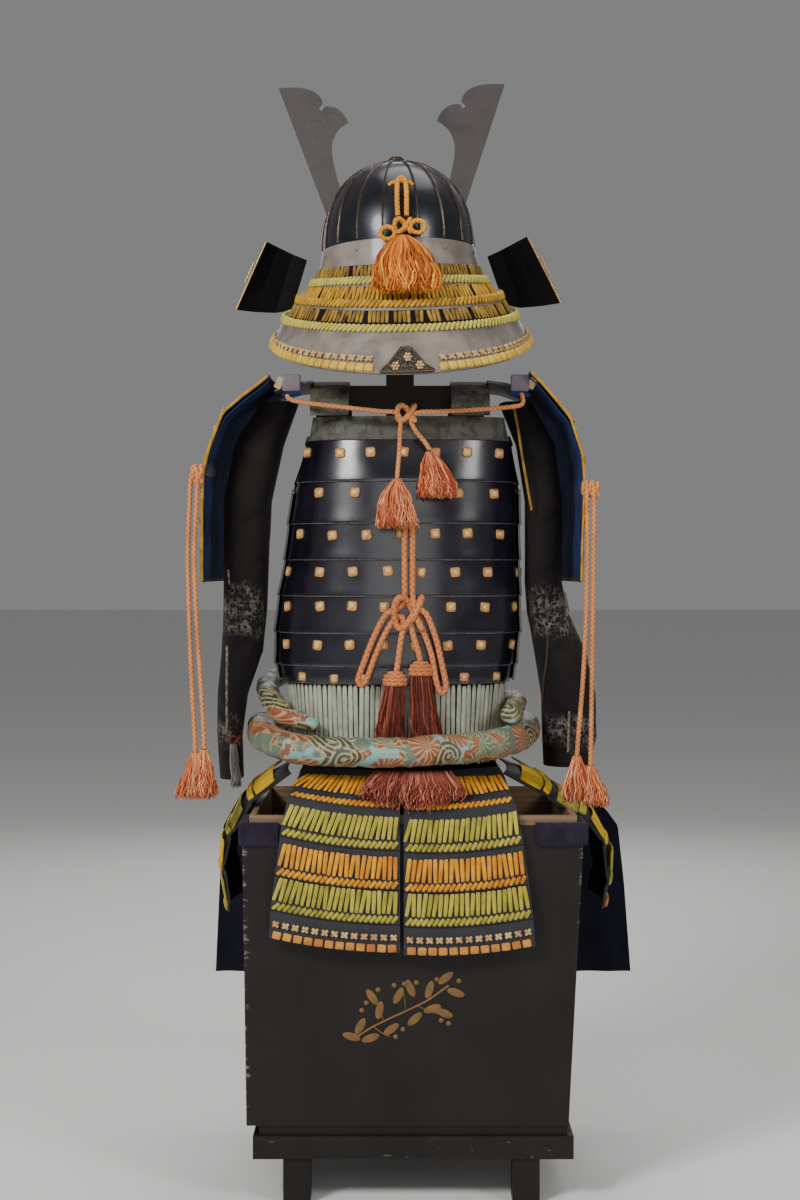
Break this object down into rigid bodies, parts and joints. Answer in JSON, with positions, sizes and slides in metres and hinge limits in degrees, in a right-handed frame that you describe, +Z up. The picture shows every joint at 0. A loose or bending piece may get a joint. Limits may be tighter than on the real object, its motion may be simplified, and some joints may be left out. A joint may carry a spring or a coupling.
{
  "type": "samurai armour on a lacquered armour chest with its stand",
  "caption": "Laced samurai armour seen from behind: horned helmet with neck guard, lacquered cuirass, padded sash and laced skirt panels, set on a footed armour chest.",
  "frame": {"origin": "on the floor, under the middle of everything but the free cords and their tassels", "axes": "+Z up; the back of the armour, which the picture shows, faces -Y, its front faces +Y, and the wearer's right is +X"},
  "size_m": [0.668, 0.467, 1.5987],
  "materials": {
    "bowl_steel": "black lacquered riveted iron, satin, ridged",
    "taupe_lacquer": "grey-brown lacquered lames, satin, worn",
    "horn_metal": "dull dark grey metal sheet",
    "black_lacquer": "black lacquer, semi-gloss",
    "printed_leather": "worn greenish printed leather",
    "pale_laces": "pale grey-green flat silk laces",
    "laced_lames": "dark lacquered lames with gold, yellow-green and orange silk lacing",
    "indigo_lining": "indigo plain-woven lining",
    "sleeve_cloth": "very dark blue-brown brocade with mail",
    "sash_brocade": "pale turquoise figured silk brocade, padded",
    "peach_cord": "peach braided silk",
    "orange_cord": "orange-gold braided silk",
    "brick_silk": "brick-red silk threads",
    "brass_ring": "aged brass",
    "apron_cloth": "dark indigo hemp cloth",
    "chest_lacquer": "black-brown lacquered wood, worn at its edges",
    "bare_wood": "bare softwood"
  },
  "bodies": {
    "root": {"helmet_bowl": "bowl_steel", "bowl_band": "taupe_lacquer", "neck_lame_1": "taupe_lacquer", "neck_lame_2": "taupe_lacquer", "neck_lame_3": "taupe_lacquer", "turn_back_left": "black_lacquer", "turn_back_right": "black_lacquer", "visor": "black_lacquer", "horn_left": "horn_metal", "horn_right": "horn_metal", "rear_fitting": "horn_metal", "helmet_cord": "orange_cord", "helmet_tassel": "orange_cord", "cuirass_back": "black_lacquer", "cuirass_front": "black_lacquer", "back_band": "printed_leather", "hanging_laces": "pale_laces", "shoulder_strap_left": "printed_leather", "shoulder_strap_right": "printed_leather", "skirt_back_left": "laced_lames", "skirt_back_right": "laced_lames", "skirt_front_left": "laced_lames", "skirt_front_right": "laced_lames", "skirt_side_left": "laced_lames", "skirt_side_right": "laced_lames", "shoulder_guard_left": "black_lacquer", "shoulder_guard_right": "black_lacquer", "guard_lining_left": "indigo_lining", "guard_lining_right": "indigo_lining", "sleeve_left": "sleeve_cloth", "sleeve_right": "sleeve_cloth", "sash_back": "sash_brocade", "sash_front": "sash_brocade", "sash_end_left": "sash_brocade", "sash_end_right": "sash_brocade", "side_cord_left_1": "peach_cord", "side_cord_left_2": "peach_cord", "side_cord_right_1": "peach_cord", "side_cord_right_2": "peach_cord", "side_tassels_left": "peach_cord", "side_tassels_right": "peach_cord", "back_cord_left": "peach_cord", "back_cord_right": "peach_cord", "back_knot": "peach_cord", "back_tassel_left": "peach_cord", "back_tassel_right": "peach_cord", "bow_ring": "brass_ring", "bow_strands": "peach_cord", "bow": "peach_cord", "bow_tassel_left": "brick_silk", "bow_tassel_right": "brick_silk", "bow_fringe": "brick_silk", "chest_body": "chest_lacquer", "chest_lip": "bare_wood", "chest_base": "chest_lacquer", "rim_cloth": "apron_cloth", "apron": "apron_cloth", "stand": "bare_wood"}
  },
  "joints": []
}
